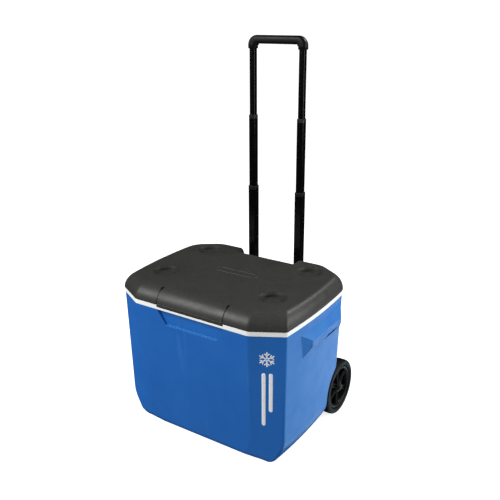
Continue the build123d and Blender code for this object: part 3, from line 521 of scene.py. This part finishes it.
def make_grip():
    """Moulded grip: a rounded bar swept over two legs, full on the inside of its elbows."""
    low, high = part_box("grip")
    leg_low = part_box("upper_tube_left")[1].z
    centre_y = (low.y + high.y) / 2
    half_y = (high.y - low.y) / 2
    leg_x = high.x - GRIP_LEG_HALF
    bar_z = high.z - GRIP_BAR_HALF
    path = [(leg_x, leg_low + 0.2 * MM, 0.0), (leg_x, leg_low + 1.2 * MM, 0.0)]
    for step in range(GRIP_TURNS + 1):
        share = step / GRIP_TURNS
        turn = math.pi / 2 * share
        back, down = GRIP_BEND * (1 - math.cos(turn)), GRIP_BEND * (1 - math.sin(turn))
        path.append((leg_x - back, bar_z - down, share))
    path += [(x * MM, bar_z, 1.0) for x in BAR_STATIONS]
    spine = path + [(-x, z, share) for x, z, share in path[-2::-1]]
    builder = bmesh.new()
    rings = []
    count = len(spine)
    for i, (x, z, share) in enumerate(spine):
        before, after = spine[max(i - 1, 0)], spine[min(i + 1, count - 1)]
        along = Vector((after[0] - before[0], 0, after[1] - before[1])).normalized()
        outward = Vector((along.z, 0, -along.x))
        swell = math.sin(math.pi * share) if 0 < share < 1 else 0.0
        thick = GRIP_LEG_HALF + (GRIP_BAR_HALF - GRIP_LEG_HALF) * share
        lip = 1.0 - (END_EASE if i in (0, count - 1) else 0.0)
        ring = []
        for a, b in superellipse(1.0, 1.0, GRIP_POWER, 40):
            reach = a * thick * lip
            if a < 0:
                reach *= 1.0 + ELBOW_FILL * swell
            ring.append(Vector((x, centre_y + b * half_y * lip, z)) + outward * reach)
        rings.append(ring)
    grid(builder, rings, caps=True)
    # spigots that go down into the upper tubes
    outline = superellipse(SPIGOT_HALF, SPIGOT_HALF, 5.0, 24)
    for _, name in SIDES:
        tube_low, tube_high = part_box(f"upper_tube_{name}")
        middle = (tube_low + tube_high) / 2
        spigot = [
            [Vector((middle.x + a, middle.y + b, z)) for a, b in outline]
            for z in (low.z, low.z + 2 * MM, leg_low + 1 * MM)
        ]
        grid(builder, spigot, caps=True)
    piece("moulded_grip", builder, "upper_stage", "grip_black", "grip")


PIN_ROUNDING = 0.4 * MM
PIN_CLEAR = 0.15 * MM               # each end stops this short of the CAD pin's end


def make_grip_pins():
    """Pins with rounded ends, short enough to clear the guides when the handle is pushed in."""
    low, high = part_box("grip_pins")
    radius = (high.z - low.z) / 2
    start, end = low.y + PIN_CLEAR, high.y - PIN_CLEAR
    profile = (
        (start, radius - PIN_ROUNDING), (start + PIN_ROUNDING, radius),
        (end - PIN_ROUNDING, radius), (end, radius - PIN_ROUNDING),
    )
    builder = bmesh.new()
    for side, _ in SIDES:
        centre = Vector((side * (high.x - radius), 0, (low.z + high.z) / 2))
        rings = [
            [centre + Vector((a, y, b)) for a, b in superellipse(reach, reach, 2.0, 32)]
            for y, reach in profile
        ]
        grid(builder, rings, caps=True)
    piece("rounded_grip_pins", builder, "upper_stage", "tube_black", "grip_pins")


# ---------------------------------------------------------------- screws
HEAD_R = 3.6 * MM
HEAD_T = 1.8 * MM
SHANK_R = 1.9 * MM
HEAD_DOME = 0.82                    # how far the dome falls away towards its edge
CROSS_HALF, CROSS_REACH = 0.16, 0.62  # the recess's arms, as shares of the head's radius
CROSS_DEPTH = 0.75                  # share of the head's height


def screw_head(builder, centre, radius, height, axis):
    """A domed head with a cross recess."""
    centre = Vector(centre)
    axis = Vector(axis).normalized()
    across = axis.orthogonal().normalized()
    other = axis.cross(across)
    steps, rows = 48, 10
    rings = []
    for row in range(rows + 1):
        share = 1.0 - row / rows
        ring = []
        for step in range(steps):
            turn = 2 * math.pi * step / steps
            a, b = radius * share * math.cos(turn), radius * share * math.sin(turn)
            rise = height * math.sqrt(max(0.0, 1.0 - (HEAD_DOME * share) ** 2))
            arm = min(abs(a), abs(b))
            if arm < CROSS_HALF * radius and max(abs(a), abs(b)) < CROSS_REACH * radius:
                rise -= CROSS_DEPTH * height
            ring.append(centre + across * a + other * b + axis * max(rise, 0.1 * height))
        rings.append(ring)
    foot = []
    for point in rings[0]:
        reach = point - centre
        foot.append(centre + reach.dot(across) * across + reach.dot(other) * other)
    grid(builder, [foot] + rings[:-1], caps=True)


def loose_parts(mesh):
    """The corner points of each separate solid of a mesh."""
    builder = bmesh.new()
    builder.from_mesh(mesh)
    bmesh.ops.remove_doubles(builder, verts=builder.verts, dist=WELD_GAP)
    seen, groups = set(), []
    for vert in builder.verts:
        if vert in seen:
            continue
        stack, group = [vert], []
        seen.add(vert)
        while stack:
            current = stack.pop()
            group.append(current.co.copy())
            for edge in current.link_edges:
                other = edge.other_vert(current)
                if other not in seen:
                    seen.add(other)
                    stack.append(other)
        groups.append(group)
    builder.free()
    return groups


def make_screws(node, body):
    """Domed cross-head screws in place of the plain ones, found from the solids of a CAD node."""
    builder = bmesh.new()
    for group in loose_parts(NODES[node].data):
        low = Vector([min(point[i] for point in group) for i in range(3)])
        high = Vector([max(point[i] for point in group) for i in range(3)])
        middle = (low + high) / 2
        base = high.y - HEAD_T
        screw_head(builder, (middle.x, base, middle.z), HEAD_R, HEAD_T, (0, 1, 0))
        shank = [(low.y, PIN_POINT), (low.y + 3 * MM, SHANK_R), (base + 0.2 * MM, SHANK_R)]
        lathe(builder, shank, (middle.x, 0, middle.z), (0, 1, 0), steps=20, closed=False)
    piece(node.replace("screws", "cross_head_screws"), builder, body, "steel", node)


# ---------------------------------------------------------------- generic graphic on the tub
RAY_START = 0.08                    # rays at the skin start this far out, in metres
PRINT_LIFT = 0.25 * MM
PRINT_T = 0.4 * MM
CHAMFER_RUN = (0.876, 0.483, 0.0)   # the front right chamfer's direction, level
CHAMFER_AT = 0.812                  # the graphic's place, as a share of the rim's half-length
CHAMFER_BACK = 0.024                # and behind the tub's front, in metres
FLAKE_Z = 0.338
FLAKE_ARMS = 6
ARM_FROM, ARM_TO, ARM_W = 0.0035, 0.021, 0.0034
FORK_AT, FORK_FROM, FORK_TO, FORK_W = 0.011, 0.0022, 0.0085, 0.0028
FORK_LEAN = 0.85                    # radians away from the arm
STRIPE_W = 0.0105
STRIPES = ((-0.0085, 0.296, 0.128), (0.0105, 0.296, 0.176))   # place across, top, foot


def capsule(start, end, width, rows):
    """A flat bar with round ends, as rows of five points in a plane."""
    start, end = Vector(start), Vector(end)
    run = end - start
    length = run.length
    along = run / length
    across = Vector((-along.y, along.x))
    half = width / 2
    points = []
    for row in range(rows + 1):
        share = 0.5 - 0.5 * math.cos(math.pi * row / rows)
        place = -half + (length + width) * share
        over = max(0.0, -place, place - length)
        reach = math.sqrt(max(half * half - over * over, (0.04 * half) ** 2))
        base = start + along * place
        points.append([base + across * reach * t for t in (-1, -0.5, 0, 0.5, 1)])
    return points


def wrapped(builder, tree, rows, origin, right, outward):
    """Lays rows of plane points on the tub's skin, a little proud of it."""
    up = Vector((0, 0, 1))
    laid = []
    for row in rows:
        line = []
        for point in row:
            start = origin + right * point.x + up * point.y + outward * RAY_START
            hit = tree.ray_cast(start, -outward)[0]
            line.append((hit if hit else start - outward * RAY_START) + outward * PRINT_LIFT)
        laid.append(line)
    grid(builder, laid, close_rings=False)


def flake_bars():
    """The bars of a six-armed flake, each with a start, an end and a width, in a plane."""
    middle = Vector((0.0, FLAKE_Z))
    bars = []
    for turn in range(FLAKE_ARMS):
        angle = 2 * math.pi * (turn + 0.5) / FLAKE_ARMS
        out = Vector((math.cos(angle), math.sin(angle)))
        bars.append((middle + out * ARM_FROM, middle + out * ARM_TO, ARM_W))
        for lean in (-FORK_LEAN, FORK_LEAN):
            tip = Vector((math.cos(angle + lean), math.sin(angle + lean)))
            fork = middle + out * FORK_AT
            bars.append((fork + tip * FORK_FROM, fork + tip * FORK_TO, FORK_W))
    return bars


def make_graphic():
    """A plain six-armed flake over two stripes, on the front right chamfer."""
    tree = BVHTree.FromObject(NODES["tub_shell"], bpy.context.evaluated_depsgraph_get())
    right = Vector(CHAMFER_RUN).normalized()
    outward = Vector((right.y, -right.x, 0.0))
    rim_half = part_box("inner_liner")[1].x
    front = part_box("tub_shell")[0].y
    origin = Vector((CHAMFER_AT * rim_half, front + CHAMFER_BACK, 0.0))
    builder = bmesh.new()
    for start, end, width in flake_bars():
        wrapped(builder, tree, capsule(start, end, width, 10), origin, right, outward)
    for place, top, foot in STRIPES:
        rows = capsule((place, foot + STRIPE_W / 2), (place, top - STRIPE_W / 2), STRIPE_W, 48)
        wrapped(builder, tree, rows, origin, right, outward)
    obj = piece("printed_flake_and_stripes", builder, "tub", "mark_white")
    body = obj.modifiers.new("thickness", "SOLIDIFY")
    body.thickness = PRINT_T
    body.offset = -1.0


BADGE_BACK = 0.012                  # the badge's place behind the lid's middle, in metres
BADGE_HALF_L, BADGE_HALF_W = 0.070, 0.0135
BADGE_HALF_BAR, BADGE_RISE, BADGE_SUNK = 2.0 * MM, 1.5 * MM, 0.2 * MM
BADGE_POINTS = 10


def pill_ring(half_length, half_width, steps=96):
    """The centre line of a long rounded ring."""
    straight = half_length - half_width
    points = []
    for step in range(steps):
        turn = 2 * math.pi * step / steps
        x = half_width * math.cos(turn) + math.copysign(straight, math.cos(turn))
        points.append((x, half_width * math.sin(turn)))
    return points


def make_lid_badge():
    """A plain raised long ring in the middle of the lid."""
    low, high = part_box("lid_shell")
    middle = Vector((0.0, (low.y + high.y) / 2 + BADGE_BACK, high.z))
    builder = bmesh.new()
    line = pill_ring(BADGE_HALF_L, BADGE_HALF_W)
    count = len(line)
    rings = []
    for i, (x, y) in enumerate(line):
        before, after = line[i - 1], line[(i + 1) % count]
        along = Vector((after[0] - before[0], after[1] - before[1], 0)).normalized()
        out = Vector((along.y, -along.x, 0))
        ring = []
        for step in range(BADGE_POINTS):
            turn = 2 * math.pi * step / BADGE_POINTS
            rise = BADGE_RISE * math.sin(turn) - BADGE_SUNK
            ring.append(middle + Vector((x, y, rise)) + out * BADGE_HALF_BAR * math.cos(turn))
        rings.append(ring)
    grid(builder, rings, close_ends=True)
    piece("lid_raised_ring", builder, "lid", "lid_grey")


# ---------------------------------------------------------------- drain
CAP_WALL_R = 8.4 * MM
CAP_RIBS = 24
RIB_DEEP = 0.8 * MM


def make_drain_cap():
    """Screw cap with finger ribs and a shallow dished face."""
    low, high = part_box("drain_cap")
    centre = Vector((0, (low.y + high.y) / 2, (low.z + high.z) / 2))
    radius = (high.z - low.z) / 2
    x_in, x_out = high.x, low.x
    profile = [
        (x_in, CAP_WALL_R), (x_in, radius - 0.6 * MM), (x_in - 0.6 * MM, radius - 0.1 * MM),
        (x_out + 1.6 * MM, radius - 0.1 * MM), (x_out + 0.6 * MM, radius - 0.8 * MM),
        (x_out, radius - 2.2 * MM), (x_out, radius - 3.6 * MM), (x_out + 0.9 * MM, radius - 4.6 * MM),
        (x_out + 0.9 * MM, 0.2 * MM), (x_out + 3 * MM, 0.2 * MM), (x_out + 3 * MM, CAP_WALL_R),
    ]

    def ribbed(_, value, turn):
        if value > radius - 0.7 * MM:
            return value - RIB_DEEP * (0.5 + 0.5 * math.cos(CAP_RIBS * turn)) ** 3
        return value

    builder = bmesh.new()
    lathe(builder, profile, centre, (1, 0, 0), steps=192, sink=ribbed)
    piece("ribbed_drain_cap", builder, "drain_cap", "guide_black", "drain_cap")


# ---------------------------------------------------------------- CAD nodes keep their shapes
SOFT_EDGES = {
    "tub_shell": 1.1 * MM, "inner_liner": 1.0 * MM, "lid_shell": 0.9 * MM, "lid_panel": 1.5 * MM,
    "upper_bracket": 1.2 * MM, "lower_bracket": 1.2 * MM,
}
SMALL_EDGE = 0.4 * MM
UNSEEN = ("tub_foam", "lid_foam", "axle")

for row in frame["record"]["subparts"]:
    node, slot = row["node"], row["material_slot"]
    finish_with(NODES[node], slot)
    if node not in UNSEEN:
        soften(NODES[node], SOFT_EDGES.get(node, SMALL_EDGE))

for side, name in SIDES:
    wheel_centre = make_tyre(name)
    make_rim(side, name, wheel_centre)
    make_push_cap(side, name, wheel_centre)
make_grip()
make_grip_pins()
make_screws("tub_hinge_screws", "tub")
make_screws("lid_hinge_screws", "lid")
make_screws("bracket_screws", "tub")
make_graphic()
make_lid_badge()
make_drain_cap()


# ---------------------------------------------------------------- studio
STAGE_GLOW, CARD_GLOW, WORLD_GLOW = 0.80, 0.62, 0.52
FLOOR_RINGS = (2.0, 4.0, 6.0)
SWEEP_R = 2.0
SWEEP_STEPS = 12
WALL_TOP = 3.2
CARD_CORNERS = ((0.27, -0.15), (0.95, -0.15), (0.95, 1.0), (0.27, 1.0))
CARD_Z = 4 * MM
CAMERA_PLACE = (1.0032, -1.4673, 1.1766)
CAMERA_AZIMUTH, CAMERA_ELEVATION, CAMERA_ROLL = 33.17, 20.01, 0.31
CAMERA_LENS = 47.0


def glowing(name, strength, glow):
    """A pale matt material that glows."""
    surface = Surface(name, Specular_IOR_Level=0.0, Emission_Strength=strength)
    surface.shader.inputs["Emission Color"].default_value = (*glow, 1.0)
    surface.colour(surface.mixed(surface.noise(0.5), (0.50, 0.50, 0.50), (0.52, 0.52, 0.52)))
    return surface.material


def make_stage():
    """A pale floor that sweeps up into a wall far away, all round."""
    wall_r = FLOOR_RINGS[-1]
    profile = [(0.0, 0.01)] + [(0.0, radius) for radius in FLOOR_RINGS]
    for step in range(1, SWEEP_STEPS + 1):
        turn = math.pi / 2 * step / SWEEP_STEPS
        profile.append((SWEEP_R - SWEEP_R * math.cos(turn), wall_r + SWEEP_R * math.sin(turn)))
    profile.append((WALL_TOP, wall_r + SWEEP_R))
    builder = bmesh.new()
    lathe(builder, profile, (0, 0, 0), (0, 0, 1), steps=96, closed=False)
    obj = meshed("stage", builder)
    smooth(obj)
    obj.data.materials.append(glowing("stage_white", STAGE_GLOW, (1.0, 1.0, 1.0)))
    obj.visible_glossy = False
    obj.visible_diffuse = False


def make_card():
    """A pale card on the floor by the right end, seen only as a sheen on satin walls."""
    builder = bmesh.new()
    builder.faces.new([builder.verts.new((x, y, CARD_Z)) for x, y in CARD_CORNERS])
    obj = meshed("card", builder)
    obj.data.materials.append(glowing("card_white", CARD_GLOW, (0.60, 0.95, 1.0)))
    for ray in ("camera", "diffuse", "transmission", "shadow"):
        setattr(obj, f"visible_{ray}", False)


def make_light(name, place, aim, width, height, power):
    """A soft rectangular light aimed at a point."""
    data = bpy.data.lights.new(name, "AREA")
    data.shape = "RECTANGLE"
    data.size, data.size_y = width, height
    data.energy = power
    obj = link_new(name, data)
    turn = (Vector(aim) - Vector(place)).to_track_quat("-Z", "Y")
    obj.matrix_world = Matrix.Translation(place) @ turn.to_matrix().to_4x4()


def make_camera():
    """The camera, turned by an azimuth, an elevation and a slight roll."""
    azimuth, elevation = math.radians(CAMERA_AZIMUTH), math.radians(CAMERA_ELEVATION)
    roll = math.radians(CAMERA_ROLL)
    ahead = Vector((-math.sin(azimuth), math.cos(azimuth), 0.0))
    forward = ahead * math.cos(elevation) - Vector((0, 0, math.sin(elevation)))
    level = Vector((math.cos(azimuth), math.sin(azimuth), 0.0))
    down = forward.cross(level)
    right = level * math.cos(roll) + down * math.sin(roll)
    below = down * math.cos(roll) - level * math.sin(roll)
    data = bpy.data.cameras.new("camera")
    data.sensor_width = 36.0
    data.lens = CAMERA_LENS
    data.clip_end = 100.0
    obj = link_new("camera", data)
    turn = Matrix((right, -below, -forward)).transposed()
    obj.matrix_world = Matrix.Translation(CAMERA_PLACE) @ turn.to_4x4()
    bpy.context.scene.camera = obj


def make_world(strength):
    """An even white surround that glossy faces don't mirror."""
    world = bpy.data.worlds.new("studio")
    world.use_nodes = True
    background = world.node_tree.nodes["Background"]
    background.inputs["Strength"].default_value = strength
    background.inputs["Color"].default_value = (1.0, 1.0, 1.0, 1.0)
    world.cycles_visibility.glossy = False
    bpy.context.scene.world = world


make_stage()
make_card()
make_world(WORLD_GLOW)
make_light("softbox_right", (2.4, 0.9, 1.0), (0.25, 0.0, 0.30), 1.5, 1.3, 62.0)
make_light("softbox_left", (-1.3, -1.9, 2.0), (0.0, -0.1, 0.25), 1.5, 1.5, 92.0)
make_light("softbox_back", (0.9, 1.7, 2.3), (0.2, 0.0, 0.40), 1.3, 0.9, 34.0)
make_camera()
bpy.context.scene.view_settings.view_transform = "Standard"
